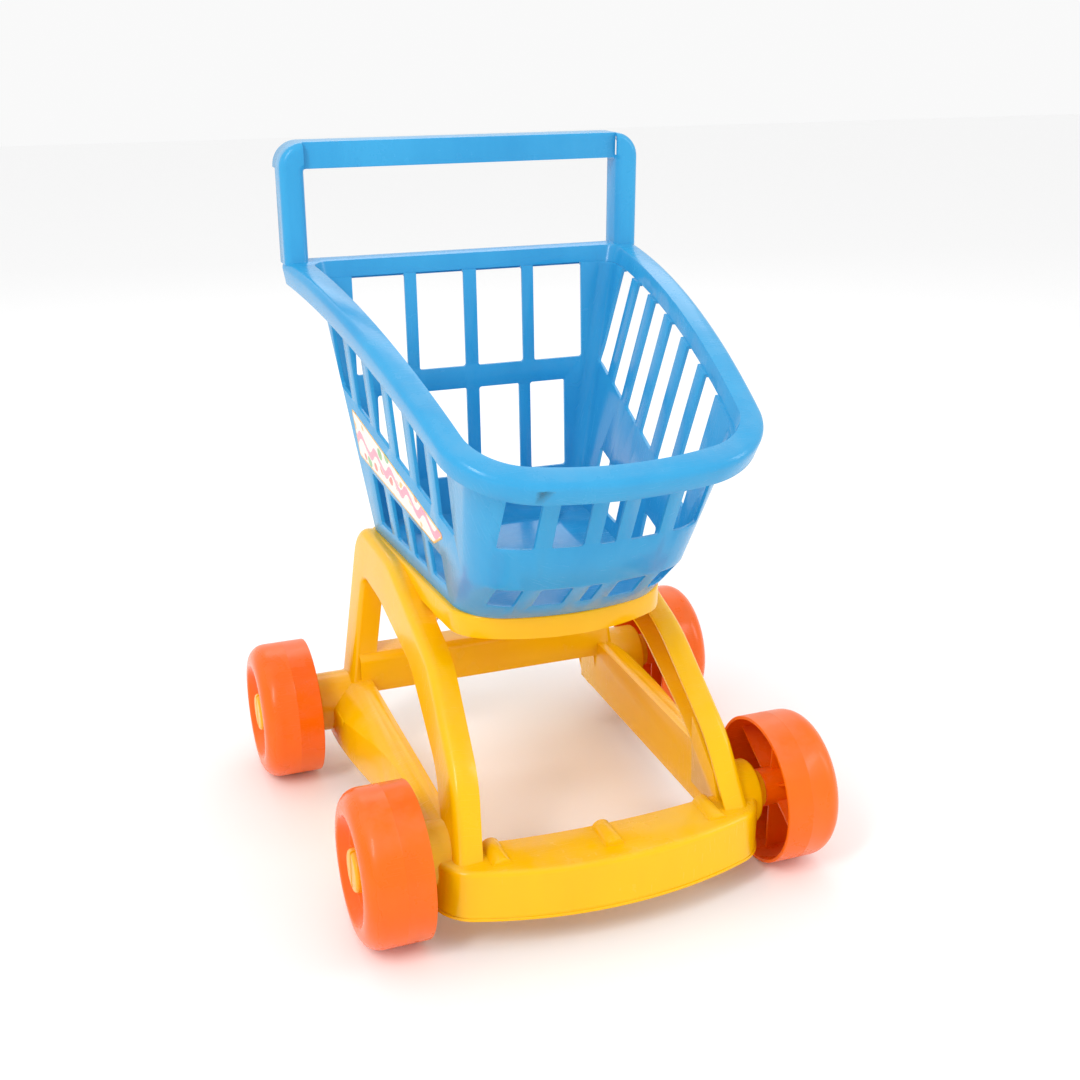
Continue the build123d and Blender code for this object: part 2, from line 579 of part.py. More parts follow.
def under_rim(drop):
    """Everything below the rim's top curve lowered by drop."""
    front = (0, RIM_FRONT_Y, RIM_FRONT_TOP - drop)
    rear = (0, RIM_REAR_Y, RIM_REAR_TOP - drop)
    beyond = 60
    curve = ThreePointArc(front, (0, 0, RIM_MIDDLE_TOP - drop), rear)
    behind = RIM_REAR_Y + beyond
    ahead = RIM_FRONT_Y - beyond
    lines = Polyline(
        rear, (0, behind, RIM_REAR_TOP - drop), (0, behind, -beyond),
        (0, ahead, -beyond), (0, ahead, RIM_FRONT_TOP - drop - beyond * 0.5), front,
    )
    face = make_face(curve.edges() + lines.edges())
    return Pos(-BIG / 2, 0, 0) * extrude(face, amount=BIG, dir=(1, 0, 0))


def x_prism(points, y0, y1):
    """A closed outline of (x, z) points with rounded corners, extruded from y0 to y1."""
    outline = FilletPolyline(*[(x, y0, z) for x, z in points], radius=SLOT_RADIUS, close=True)
    return extrude(make_face(outline.edges()), amount=y1 - y0, dir=(0, 1, 0))


def band_top(y):
    """Height of the upper side slots' sills."""
    return BAND_TOP_REAR + BAND_SLOPE * (y - BAND_REF_Y)


def band_bottom(y):
    """Height of the lower side slots' heads."""
    return band_top(y) - BAND_HEIGHT - BAND_TAPER * (y - BAND_REF_Y)


def side_slots():
    """Both rows of slots in the side walls, as prisms right across the tub."""
    tools = []
    half = SIDE_SLOT_WIDTH / 2
    for index in range(SIDE_SLOTS):
        y = SIDE_SLOT_FIRST_Y - index * SIDE_SLOT_PITCH
        low = band_top(y)
        shift = SIDE_SLOT_LEAN * SIDE_SLOT_REACH
        points = [
            (y - half, band_top(y - half)), (y + half, band_top(y + half)),
            (y + half - shift, low + SIDE_SLOT_REACH), (y - half - shift, low + SIDE_SLOT_REACH),
        ]
        tools.append(Pos(-BIG / 2, 0, 0) * side_view(points, SLOT_RADIUS, BIG))
    for index in range(1, SIDE_SLOTS - 1):
        y = SIDE_SLOT_FIRST_Y - index * SIDE_SLOT_PITCH
        shift = LOWER_SLOT_LEAN * (band_bottom(y) - LOWER_SLOT_BOTTOM)
        points = [
            (y - half + shift, LOWER_SLOT_BOTTOM), (y + half + shift, LOWER_SLOT_BOTTOM),
            (y + half, band_bottom(y + half)), (y - half, band_bottom(y - half)),
        ]
        tools.append(Pos(-BIG / 2, 0, 0) * side_view(points, SLOT_RADIUS, BIG))
    return tools


def mirrored_slots(edges, low, high, y0, y1):
    """A row of slots between two heights, on both sides of the middle; one that starts at 0 is single."""
    tools = []
    for start, stop in edges:
        spans = [(-stop, stop)] if start == 0 else [(start, stop), (-stop, -start)]
        for left, right in spans:
            tools.append(x_prism([(left, low), (right, low), (right, high), (left, high)], y0, y1))
    return tools


def tub_walls():
    """The tub's floor and walls, and the jog that forms the rim's inner face."""
    inner_floor = BASKET_FLOOR_Z + BASKET_WALL
    tub = tub_block(0, BASKET_FLOOR_Z, 0) - tub_block(-BASKET_WALL, inner_floor, 2)
    tub = tub & under_rim(LEDGE_DROP)
    radii = (TUB_REAR_RADIUS, TUB_FRONT_RADIUS)
    jog = flared(JOG, JOG, *radii) - rim_opening()
    jog = (jog & under_rim(BASKET_WALL / 2)) - under_rim(LEDGE_DROP + BASKET_WALL)
    return tub + jog


def rim_opening():
    """The opening inside the rim's jogged inner face."""
    return flared(JOG - BASKET_WALL, JOG - BASKET_WALL, TUB_REAR_RADIUS, TUB_FRONT_RADIUS)


def slot_cutters():
    """All the slots of the tub, up to the ledge under the rim."""
    top = BASKET_HEIGHT_MAX
    tools = side_slots()
    tools += mirrored_slots(FRONT_SLOT_EDGES, FRONT_SLOT_SILL, top, -BIG, TUB_CORNER_CLEAR)
    tools += mirrored_slots(FRONT_LOWER_EDGES, FRONT_LOWER_BOTTOM, FRONT_LOWER_TOP, -BIG, TUB_CORNER_CLEAR)
    tools += mirrored_slots(REAR_SLOT_EDGES, REAR_SILL, top, TUB_REAR_CLEAR, BIG)
    tools += mirrored_slots(REAR_LOWER_EDGES, REAR_LOWER_BOTTOM, REAR_LOWER_TOP, TUB_REAR_CLEAR, BIG)
    ceiling = under_rim(LEDGE_DROP)
    return [tool & ceiling for tool in tools]


def screw_places():
    """The four (x, y) places where the basket is screwed down."""
    return [(x, y) for x in (-SCREW_X, SCREW_X) for y in (SCREW_FRONT_Y, SCREW_REAR_Y)]


def screw_boss():
    """A boss on the basket's floor, standing at height 0 on the floor's upper face."""
    return Pos(0, 0, (BOSS_HEIGHT - BOSS_SINK) / 2) * Cylinder(BOSS_DIAMETER / 2, BOSS_HEIGHT + BOSS_SINK)


def rim():
    """The rim: a wide flat top with a flange hanging from its outer edge, all round the tub."""
    outer = flared(RIM_OVERHANG, RIM_FRONT_OVERHANG, RIM_REAR_RADIUS, RIM_FRONT_RADIUS)
    outer = (outer & under_rim(0)) - under_rim(RIM_HEIGHT)
    top_face = outer.faces().filter_by(GeomType.CYLINDER).sort_by(Axis.Z)[-1]
    outer = fillet(top_face.edges(), RIM_EDGE_RADIUS)
    grow = RIM_OVERHANG - BASKET_WALL
    front_grow = RIM_FRONT_OVERHANG - BASKET_WALL
    under = flared(grow, front_grow, RIM_REAR_RADIUS - BASKET_WALL, RIM_FRONT_RADIUS - BASKET_WALL)
    return outer - (under & under_rim(BASKET_WALL)) - rim_opening()


def handle_outline(inset):
    """Front view of the uprights and crossbar as one portal, its legs ending in the rim's top."""
    half = HANDLE_HALF_WIDTH - inset
    inner = HANDLE_HALF_WIDTH - UPRIGHT_WIDTH + inset
    low = RIM_REAR_TOP - BASKET_WALL + inset * 2
    top = HANDLE_TOP - inset
    under = HANDLE_TOP - CROSSBAR_HEIGHT + inset
    points = [
        (half, 0, low), (half, 0, top), (-half, 0, top), (-half, 0, low),
        (-inner, 0, low), (-inner, 0, under), (inner, 0, under), (inner, 0, low),
    ]
    corner = HANDLE_CORNER_RADIUS - inset
    opening = HANDLE_OPENING_RADIUS + inset
    outline = FilletPolyline(*points, radius=[0, corner, corner, 0, 0, opening, opening, 0], close=True)
    return make_face(outline.edges())


def handle():
    """Two uprights and a crossbar in one channel, open towards the rear."""
    length = UPRIGHT_DEPTH + CROSSBAR_LIP
    portal = Pos(0, UPRIGHT_FRONT_Y, 0) * extrude(handle_outline(0), amount=length, dir=(0, 1, 0))
    front = portal.faces().sort_by(Axis.Y)[0]
    rounded = [e for e in front.edges() if e.center().Z > RIM_REAR_TOP + 1]
    portal = fillet(rounded, HANDLE_EDGE_RADIUS)
    pocket = extrude(handle_outline(HANDLE_WALL), amount=length, dir=(0, 1, 0))
    pocket = Pos(0, UPRIGHT_FRONT_Y + HANDLE_WALL, 0) * pocket
    inner = HANDLE_HALF_WIDTH - UPRIGHT_WIDTH
    bar_front = UPRIGHT_FRONT_Y + CROSSBAR_SETBACK
    under = HANDLE_TOP - CROSSBAR_HEIGHT - 1
    pocket = pocket - block(-inner, inner, -BIG, bar_front + HANDLE_WALL, under, BIG)
    portal = portal - pocket - block(-inner, inner, -BIG, bar_front, under, BIG)
    behind = UPRIGHT_FRONT_Y + UPRIGHT_DEPTH
    return portal - block(-BIG, BIG, behind, BIG, 0, HANDLE_TOP - CROSSBAR_HEIGHT)


def basket():
    """The whole basket moulding: tub, slots, rim, handle and screw bosses."""
    body = tub_walls()
    for tool in slot_cutters():
        body = body - tool
    body = body + rim() + handle()
    inner_floor = BASKET_FLOOR_Z + BASKET_WALL
    for x, y in screw_places():
        body = body + Pos(x, y, inner_floor) * screw_boss()
        bore_top = inner_floor + BOSS_HEIGHT - BASKET_WALL
        bore_bottom = BASKET_FLOOR_Z - 1
        bore = Cylinder(SCREW_DIAMETER / 2 + SOCKET_FIT, bore_top - bore_bottom)
        body = body - Pos(x, y, (bore_top + bore_bottom) / 2) * bore
    return body


# ---------------------------------------------------------------- labels and screws
def label():
    """The sticker on the right side wall, a thin plate that lies flat on it."""
    normal = Vector(1, -TUB_TAPER, -TUB_FLARE).normalized()
    corners = [Vector(tub_half_width(y, z), y, z) + normal * LABEL_GAP for y, z in LABEL_CORNERS]
    outline = FilletPolyline(*corners, radius=LABEL_ROUNDING, close=True)
    return extrude(make_face(outline.edges()), amount=LABEL_THICKNESS, dir=tuple(normal))


def basket_screws():
    """The four screws that hold the basket, driven up through the tray from below."""
    seat = PLATFORM_TOP - PAD_HEIGHT
    shank = Pos(0, 0, seat + SCREW_LENGTH / 2) * Cylinder(SCREW_DIAMETER / 2, SCREW_LENGTH)
    head = Pos(0, 0, seat - SCREW_HEAD_HEIGHT / 2) * Cylinder(SCREW_HEAD_DIAMETER / 2, SCREW_HEAD_HEIGHT)
    head = fillet(head.edges().group_by(Axis.Z)[0], SCREW_HEAD_HEIGHT * 0.4)
    recess = block(-0.5, 0.5, -2.4, 2.4, seat - SCREW_HEAD_HEIGHT - 1, seat - SCREW_HEAD_HEIGHT * 0.4)
    screw = shank + head - recess - Rot(0, 0, 90) * recess
    places = screw_places()
    screws = Pos(*places[0], 0) * screw
    for x, y in places[1:]:
        screws = screws + Pos(x, y, 0) * screw
    return screws


def main():
    """Build every piece, move the origin under the middle of the whole cart and write the files."""
    keep("basket", basket())
    keep("chassis", chassis())
    add_wheels()
    keep("label_right", label())
    keep("label_left", mirror(label(), about=Plane.YZ))
    keep("basket_screws", basket_screws())
    boxes = [shape.bounding_box() for shape in PARTS.values()]
    middle = (min(box.min.Y for box in boxes) + max(box.max.Y for box in boxes)) / 2
    os.makedirs("parts", exist_ok=True)
    for name, shape in PARTS.items():
        export_step(Pos(0, -middle, 0) * shape, "parts/" + name + ".step")


if __name__ == "__main__":
    main()
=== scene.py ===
# %% [markdown]
# # A toy shopping cart, finished in Blender
# The cart comes apart into few pieces. A blue basket is moulded in one with its handle. A yellow chassis
# carries it, and four orange wheels turn on yellow snap-in pins. Two stickers and four screws finish it.
# The frame gives every piece at its real size and place, so this lesson only adds what the eye looks for:
# softened edges, moulded detail, worn gloss, and a studio to see them in.

# %% Load the frame
from math import cos, pi, radians, sin

import bmesh
import bpy
from mathutils import Matrix, Vector


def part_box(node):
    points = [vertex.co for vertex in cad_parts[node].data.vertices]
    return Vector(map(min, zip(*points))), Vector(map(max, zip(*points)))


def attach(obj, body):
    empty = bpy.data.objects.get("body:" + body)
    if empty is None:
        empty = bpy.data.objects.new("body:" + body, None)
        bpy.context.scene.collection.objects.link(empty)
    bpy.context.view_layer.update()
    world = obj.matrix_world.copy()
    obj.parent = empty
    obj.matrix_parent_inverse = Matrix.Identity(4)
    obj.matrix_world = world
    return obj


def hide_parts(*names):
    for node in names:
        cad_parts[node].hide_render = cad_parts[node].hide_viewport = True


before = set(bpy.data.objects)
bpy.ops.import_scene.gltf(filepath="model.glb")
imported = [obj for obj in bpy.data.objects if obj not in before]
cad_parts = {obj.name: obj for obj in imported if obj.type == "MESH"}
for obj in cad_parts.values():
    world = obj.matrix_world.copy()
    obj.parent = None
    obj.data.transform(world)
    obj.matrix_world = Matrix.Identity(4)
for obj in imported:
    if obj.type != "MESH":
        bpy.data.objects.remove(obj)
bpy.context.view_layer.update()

print("pieces in the frame:", ", ".join(sorted(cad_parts)))

# %% [markdown]
# ## The measures of this cart
# A few places are wanted again and again, and each is read from the frame rather than typed. The axles are
# the middles of the wheels, and the wheelbase's middle is the point that the studio is set out from.

# %% Places read from the frame
MM = 0.001
CORNERS = ("front_left", "front_right", "rear_left", "rear_right")


def middle(node):
    """The middle of a node's box."""
    low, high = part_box(node)
    return (low + high) / 2


AXLE = {corner: middle("wheel_" + corner) for corner in CORNERS}
WHEELBASE_MIDDLE = (AXLE["front_left"].y + AXLE["rear_left"].y) / 2
WHEEL_LOW, WHEEL_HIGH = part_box("wheel_front_right")
WHEEL_RADIUS = (WHEEL_HIGH.z - WHEEL_LOW.z) / 2
WHEEL_WIDTH = WHEEL_HIGH.x - WHEEL_LOW.x
print("wheel radius %.1f mm, width %.1f mm" % (WHEEL_RADIUS / MM, WHEEL_WIDTH / MM))

# %% [markdown]
# ## Writing node trees as sentences
# A node tree is easier to read as sums than as boxes and wires. Number holds one socket, and Python's own
# operators add the Math nodes. Board holds the tree, and its one method adds any other node.

# %% Number and Board
class Number:
    """A number in a node tree. Sums on it become Math nodes."""

    def __init__(self, board, socket):
        self.board = board
        self.socket = socket

    def maths(self, operation, *others):
        """A Math node of that operation on this number and the others."""
        return self.board.maths(operation, self, *others)

    def __add__(self, other):
        return self.maths("ADD", other)

    def __radd__(self, other):
        return self.board.maths("ADD", other, self)

    def __sub__(self, other):
        return self.maths("SUBTRACT", other)

    def __rsub__(self, other):
        return self.board.maths("SUBTRACT", other, self)

    def __mul__(self, other):
        return self.maths("MULTIPLY", other)

    def __rmul__(self, other):
        return self.board.maths("MULTIPLY", other, self)

    def __truediv__(self, other):
        return self.maths("DIVIDE", other)

    def __rtruediv__(self, other):
        return self.board.maths("DIVIDE", other, self)


class Board:
    """A node tree that nodes are added to."""

    def __init__(self, tree):
        self.tree = tree

    def add(self, kind, settings=None, sockets=None, out=0):
        """Add a node, set it up, feed its sockets, and hand back one of its outputs."""
        node = self.tree.nodes.new(kind)
        for name, value in (settings or {}).items():
            if name == "stops":
                self.set_stops(node.color_ramp, value)
            else:
                setattr(node, name, value)
        for name, value in (sockets or {}).items():
            if isinstance(value, Number):
                self.tree.links.new(value.socket, node.inputs[name])
            else:
                node.inputs[name].default_value = value
        return Number(self, node.outputs[out]) if len(node.outputs) else node

    def maths(self, operation, *values):
        """A Math node of that operation on these values."""
        return self.add("ShaderNodeMath", {"operation": operation}, dict(enumerate(values)))

    def parts(self, vector):
        """The x, y and z of a vector."""
        whole = self.add("ShaderNodeSeparateXYZ", {}, {0: vector})
        return [Number(self, socket) for socket in whole.socket.node.outputs]

    def set_stops(self, ramp, stops):
        """Give a colour ramp its stops, as (place, grey) pairs."""
        while len(ramp.elements) < len(stops):
            ramp.elements.new(1.0)
        for element, (place, grey) in zip(ramp.elements, stops):
            element.position = place
            element.color = (grey, grey, grey, 1)

    def mix_colour(self, share, first, second, blend="MIX"):
        """Two colours mixed, by a share from 0 to 1."""
        settings = {"data_type": "RGBA", "blend_type": blend}
        return self.add("ShaderNodeMix", settings, {0: share, 6: first, 7: second}, out=2)

    def ramp(self, number, *stops):
        """A number passed through a ramp of (place, value) stops."""
        return self.add("ShaderNodeValToRGB", {"stops": stops}, {0: number})


print("node helpers ready")

# %% [markdown]
# ## Rules in Geometry Nodes
# A wheel is a section turned about its axle, with a ring of equal ribs. A screw is a turned section too,
# and its thread follows a helix. Such shapes are rules, so each is a small Geometry Nodes tree whose inputs
# have names. The tree runs once, and its result is kept as plain mesh.

# %% Building and running a rule
def baked(piece):
    """Turn a piece's modifiers into plain mesh."""
    bpy.context.view_layer.update()
    seen = piece.evaluated_get(bpy.context.evaluated_depsgraph_get())
    mesh = bpy.data.meshes.new_from_object(seen)
    piece.modifiers.clear()
    piece.data = mesh
    return piece


def smooth(piece, angle):
    """Shade a mesh smooth, except across edges sharper than the angle."""
    for face in piece.data.polygons:
        face.use_smooth = True
    piece.data.set_sharp_from_angle(angle=radians(angle))


def new_rule(name, inputs):
    """An empty Geometry Nodes tree with these named inputs, its board, and those inputs as values."""
    tree = bpy.data.node_groups.new(name, "GeometryNodeTree")
    tree.interface.new_socket("Geometry", in_out="INPUT", socket_type="NodeSocketGeometry")
    for label, kind in inputs.items():
        tree.interface.new_socket(label, in_out="INPUT", socket_type="NodeSocket" + kind)
    tree.interface.new_socket("Geometry", in_out="OUTPUT", socket_type="NodeSocketGeometry")
    board = Board(tree)
    entry = tree.nodes.new("NodeGroupInput")
    values = {socket.name: Number(board, socket) for socket in entry.outputs if socket.name}
    return tree, board, values


def joined(board, *shapes):
    """Several shapes as one."""
    whole = board.add("GeometryNodeJoinGeometry")
    for shape in shapes:
        board.tree.links.new(shape.socket, whole.socket.node.inputs[0])
    return whole


def finish_rule(board, shape, finish):
    """End a rule: real mesh, one material, out."""
    real = board.add("GeometryNodeRealizeInstances", {}, {"Geometry": shape})
    painted = board.add("GeometryNodeSetMaterial", {}, {"Geometry": real, "Material": finish})
    way_out = board.tree.nodes.new("NodeGroupOutput")
    board.tree.links.new(painted.socket, way_out.inputs[0])


def run_rule(tree, name, points, values):
    """Run a rule on an object whose mesh is only these points, and keep the result as plain mesh."""
    mesh = bpy.data.meshes.new(name)
    mesh.from_pydata([tuple(point) for point in points], [], [])
    piece = bpy.data.objects.new(name, mesh)
    bpy.context.scene.collection.objects.link(piece)
    rule = piece.modifiers.new("rule", "NODES")
    rule.node_group = tree
    for socket in tree.interface.items_tree:
        if socket.in_out == "INPUT" and socket.name in values:
            rule[socket.identifier] = values[socket.name]
    baked(piece)
    smooth(piece, 35)
    print("%s: %d faces from the rule %s" % (name, len(piece.data.polygons), tree.name))
    return piece


def turned(board, section, steps):
    """Turn a section of (distance along X, radius) points into a closed skin about the X axis."""
    count = board.add("GeometryNodeAttributeDomainSize", {"component": "MESH"}, {0: section}, "Point Count")
    size = {"Size X": 1.0, "Size Y": 1.0, "Vertices X": steps + 1, "Vertices Y": count + 1}
    sheet = board.add("GeometryNodeMeshGrid", {}, size, "Mesh")
    place = board.add("GeometryNodeInputPosition")
    x, y, _ = board.parts(place)
    angle = (x + 0.5) * (2 * pi)
    index = ((y + 0.5) * count).maths("ROUND").maths("FLOORED_MODULO", count)
    settings = {"data_type": "FLOAT_VECTOR", "domain": "POINT"}
    sockets = {"Geometry": section, "Value": place, "Index": index}
    point = board.add("GeometryNodeSampleIndex", settings, sockets)
    along, radius, _ = board.parts(point)
    across, up = radius * angle.maths("COSINE"), radius * angle.maths("SINE")
    spot = board.add("ShaderNodeCombineXYZ", {}, {0: along, 1: across, 2: up})
    skin = board.add("GeometryNodeSetPosition", {}, {"Geometry": sheet, "Position": spot})
    return board.add("GeometryNodeMergeByDistance", {}, {"Geometry": skin, "Distance": 1e-6})


def rounded(points, steps=5):
    """A closed outline of (x, y, radius) corners, each corner rounded by its radius."""
    outline = []
    for index, (x, y, radius) in enumerate(points):
        here = Vector((x, y))
        before = Vector(points[index - 1][:2]) - here
        after = Vector(points[(index + 1) % len(points)][:2]) - here
        if radius == 0:
            outline.append((x, y, 0))
            continue
        turn = before.angle(after)
        reach = radius / max(0.001, sin(turn / 2) / cos(turn / 2))
        start, end = here + before.normalized() * reach, here + after.normalized() * reach
        centre = here + (before.normalized() + after.normalized()).normalized() * radius / sin(turn / 2)
        for step in range(steps + 1):
            arm = (start - centre).normalized().slerp((end - centre).normalized(), step / steps)
            outline.append((*(centre + arm * radius), 0))
    return outline


print("rules can be written")

# %% [markdown]
# ## Moulded plastic
# All three mouldings are polypropylene, which leaves its mould glossy but never perfect. The skin has a
# faint orange-peel ripple, thin walls sink a little as they cool, and streaks mark where the melt flowed.
# Use adds hair scratches and a dull film of dust on what faces up. One recipe makes all of them, because
# only the colour and the amount of wear differ. The patterns are in object space, so they stay in place
# when a wheel turns.

# %% The recipe for a moulding
def linear(red, green, blue):
    """A screen colour given in parts of 255, as the linear colour that shaders use."""
    parts = []
    for part in (red, green, blue):
        share = part / 255
        parts.append(share / 12.92 if share <= 0.04045 else ((share + 0.055) / 1.055) ** 2.4)
    return (*parts, 1)


def noise(board, where, scale, detail=2.0, roughness=0.5):
    """Smooth noise from 0 to 1."""
    sockets = {"Vector": where, "Scale": scale, "Detail": detail, "Roughness": roughness}
    return board.add("ShaderNodeTexNoise", {}, sockets)


def new_material(name):
    """An empty material with its board, its shader and the place to plug it in."""
    material = bpy.data.materials.new(name)
    material.use_nodes = True
    board = Board(material.node_tree)
    shader = material.node_tree.nodes["Principled BSDF"]
    return material, board, shader


def plug(board, value, shader, socket):
    """Feed a shader's socket."""
    board.tree.links.new(value.socket, shader.inputs[socket])


def scratches(board, where, turn, scale):
    """Thin straight hairlines, from noise stretched a long way along one direction."""
    stretched = board.add("ShaderNodeMapping", {}, {"Vector": where, "Rotation": turn, "Scale": (1, 40, 1)})
    return board.ramp(noise(board, stretched, scale, 3.0), (0.62, 0.0), (0.70, 1.0))


def moulded(name, colour, shade, gloss, wear, rub=False):
    """Glossy moulded plastic in a colour and its darker shade. Gloss is its roughness, wear its age.

    With rub, the mesh's own mark called tread dulls the finish where a wheel runs on the floor.
    """
    material, board, shader = new_material(name)
    where = board.add("ShaderNodeTexCoord", out=3)
    cloud = noise(board, where, 7.0, 3.0)
    flow_map = board.add("ShaderNodeMapping", {}, {"Vector": where, "Scale": (1, 1, 0.22)})
    flow = noise(board, flow_map, 38.0, 4.0, 0.6)
    grime = board.ramp(noise(board, where, 26.0, 5.0, 0.65), (0.42, 0.0), (0.72, 1.0))
    normal = board.add("ShaderNodeNewGeometry", out=1)
    upward = board.parts(normal)[2]
    settled = board.ramp(upward, (0.55, 0.0), (1.0, 1.0))
    hairs = scratches(board, where, (0.4, 0.2, 0.9), 55.0)
    hairs = hairs + scratches(board, where, (1.2, 0.7, 0.1), 70.0)
    tone = board.ramp(cloud * 0.65 + flow * 0.35, (0.35, 0.0), (0.65, 1.0))
    body = board.mix_colour(tone, shade, colour)
    dusty = board.mix_colour(settled * grime * (0.16 * wear), body, linear(214, 208, 196))
    plug(board, dusty, shader, "Base Color")
    rough = gloss + 0.10 * tone + (0.10 * wear) * grime + (0.10 * wear) * hairs + (0.08 * wear) * settled
    plug(board, rough, shader, "Roughness")
    peel = noise(board, where, 420.0, 2.0)
    sink = noise(board, where, 22.0, 1.0)
    relief = sink * 1.0 + peel * 0.035 - hairs * (0.02 * wear)
    bump = board.add("ShaderNodeBump", {}, {"Strength": 0.55, "Distance": 0.0011, "Height": relief})
    plug(board, bump, shader, "Normal")
    shader.inputs["IOR"].default_value = 1.49
    shader.inputs["Specular IOR Level"].default_value = 0.3
    shader.inputs["Coat Weight"].default_value = 0.1
    shader.inputs["Coat Roughness"].default_value = 0.06
    if rub:
        rubbed = board.add("ShaderNodeAttribute", {"attribute_name": "tread"}, out="Fac")
        dull = rubbed * (0.3 + 0.7 * grime)
        plug(board, rough + 0.14 * dull, shader, "Roughness")
        plug(board, board.mix_colour(dull * 0.08, dusty, linear(150, 90, 50)), shader, "Base Color")
    print("finish:", name)
    return material


WAVES_PER_METRE = 210
WAVE_HEIGHT = 4.5 * MM
STRIPE_SLOPE = 0.18          # the sticker rises this much towards its rear
STRIPE_LEVEL = 256.5 * MM
STRIPE_HALF_WIDTH = 3.2 * MM
STRIPE_MARGIN = 1.4 * MM
DOTS_PER_METRE = 74.0
DOT_SIZE = 0.34


def printed_film(name):
    """Glossy film printed with a pale ground, a waving stripe and scattered dots."""
    material, board, shader = new_material(name)
    where = board.add("ShaderNodeTexCoord", out=3)
    _, along, up = board.parts(where)
    wave = (along * WAVES_PER_METRE).maths("SINE") * WAVE_HEIGHT
    off = (up - along * STRIPE_SLOPE - STRIPE_LEVEL - wave).maths("ABSOLUTE")
    stripe = off.maths("LESS_THAN", STRIPE_HALF_WIDTH)
    outline = off.maths("LESS_THAN", STRIPE_HALF_WIDTH + STRIPE_MARGIN)
    sockets = {"Vector": where, "Scale": DOTS_PER_METRE, "Randomness": 0.55}
    apart = board.add("ShaderNodeTexVoronoi", {}, sockets, "Distance")
    pick = board.add("ShaderNodeTexVoronoi", {}, sockets, "Color")
    share = board.add("ShaderNodeSeparateColor", {}, {0: pick})
    dot = apart.maths("LESS_THAN", DOT_SIZE)
    ground = linear(246, 240, 226)
    red, gold, green = linear(236, 84, 60), linear(248, 178, 40), linear(112, 182, 84)
    warm = board.mix_colour(share.maths("GREATER_THAN", 0.66), red, gold)
    dots = board.mix_colour(share.maths("LESS_THAN", 0.36), warm, green)
    printed = board.mix_colour(dot, ground, dots)
    printed = board.mix_colour(outline, printed, ground)
    printed = board.mix_colour(stripe, printed, linear(240, 128, 158))
    grain = noise(board, where, 300.0, 3.0)
    plug(board, board.mix_colour(grain * 0.08, printed, linear(200, 196, 184)), shader, "Base Color")
    plug(board, 0.22 + 0.12 * noise(board, where, 60.0, 4.0), shader, "Roughness")
    relief = noise(board, where, 90.0, 2.0) * 0.5
    bump = board.add("ShaderNodeBump", {}, {"Strength": 0.25, "Distance": 0.0006, "Height": relief})
    plug(board, bump, shader, "Normal")
    shader.inputs["Coat Weight"].default_value = 0.5
    print("finish:", name)
    return material


def plated_steel(name):
    """Zinc-plated steel: pale and slightly yellow, with fine turning marks and a mottled dull film."""
    material, board, shader = new_material(name)
    where = board.add("ShaderNodeTexCoord", out=3)
    mottle = noise(board, where, 900.0, 4.0, 0.6)
    zinc = board.mix_colour(mottle, linear(176, 176, 172), linear(206, 202, 186))
    plug(board, zinc, shader, "Base Color")
    plug(board, 0.24 + 0.22 * mottle, shader, "Roughness")
    marks = board.add("ShaderNodeMapping", {}, {"Vector": where, "Scale": (1, 1, 12)})
    relief = noise(board, marks, 1400.0, 2.0)
    bump = board.add("ShaderNodeBump", {}, {"Strength": 0.3, "Distance": 0.0001, "Height": relief})
    plug(board, bump, shader, "Normal")
    shader.inputs["Metallic"].default_value = 1.0
    print("finish:", name)
    return material


film = printed_film("label_film")
film_border = moulded("label_border", linear(236, 188, 96), linear(228, 172, 80), 0.22, 0.4)
steel = plated_steel("screw_steel")
blue = moulded("basket_blue", linear(56, 164, 216), linear(42, 150, 206), 0.16, 0.5)
yellow = moulded("chassis_yellow", linear(252, 194, 0), linear(249, 184, 0), 0.15, 0.6)
orange = moulded("wheel_orange", linear(252, 110, 0), linear(248, 98, 0), 0.15, 0.7, rub=True)
pin_yellow = moulded("pin_yellow", linear(246, 190, 24), linear(238, 172, 8), 0.22, 1.0)

# %% [markdown]
# ## Softening a moulding's edges
# No moulding has a knife edge. Each edge has a small round, and that round is what catches a thin bright
# line of light. The frame's meshes are loose triangles with sharp edges, so a copy is stitched together,
# its flat faces are joined up, and a narrow bevel goes along every edge that turns more than the rounds
# that are already there. A subdivision would soften everything, and the bevel keeps flat walls flat.

# %% A softened copy of a node
def stitched_copy(node, name):
    """A copy of a node's mesh with its triangles joined into one skin."""
    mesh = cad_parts[node].data.copy()
    mesh.name = name
    shape = bmesh.new()
    shape.from_mesh(mesh)
    bmesh.ops.remove_doubles(shape, verts=shape.verts, dist=2e-6)
    bmesh.ops.dissolve_limit(shape, angle_limit=radians(0.6), verts=shape.verts, edges=shape.edges)
    shape.to_mesh(mesh)
    shape.free()
    mesh.materials.clear()
    piece = bpy.data.objects.new(name, mesh)
    bpy.context.scene.collection.objects.link(piece)
    return piece


def softened(node, name, width, material, body):
    """A node's shape with every sharp edge rounded by a narrow bevel, standing for that node."""
    piece = stitched_copy(node, name)
    bevel = piece.modifiers.new("edge", "BEVEL")
    bevel.width = width
    bevel.segments = 2
    bevel.limit_method = "ANGLE"
    bevel.angle_limit = radians(38)
    bevel.use_clamp_overlap = True
    bevel.harden_normals = False
    baked(piece)
    shape = bmesh.new()
    shape.from_mesh(piece.data)
    bmesh.ops.connect_verts_concave(shape, faces=shape.faces)
    shape.to_mesh(piece.data)
    shape.free()
    smooth(piece, 40)
    piece.data.materials.append(material)
    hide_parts(node)
    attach(piece, body)
    print("%s: %d faces" % (name, len(piece.data.polygons)))
    return piece


basket = softened("basket", "basket_moulding", 0.5 * MM, blue, "cart")
chassis = softened("chassis", "chassis_moulding", 0.5 * MM, yellow, "cart")

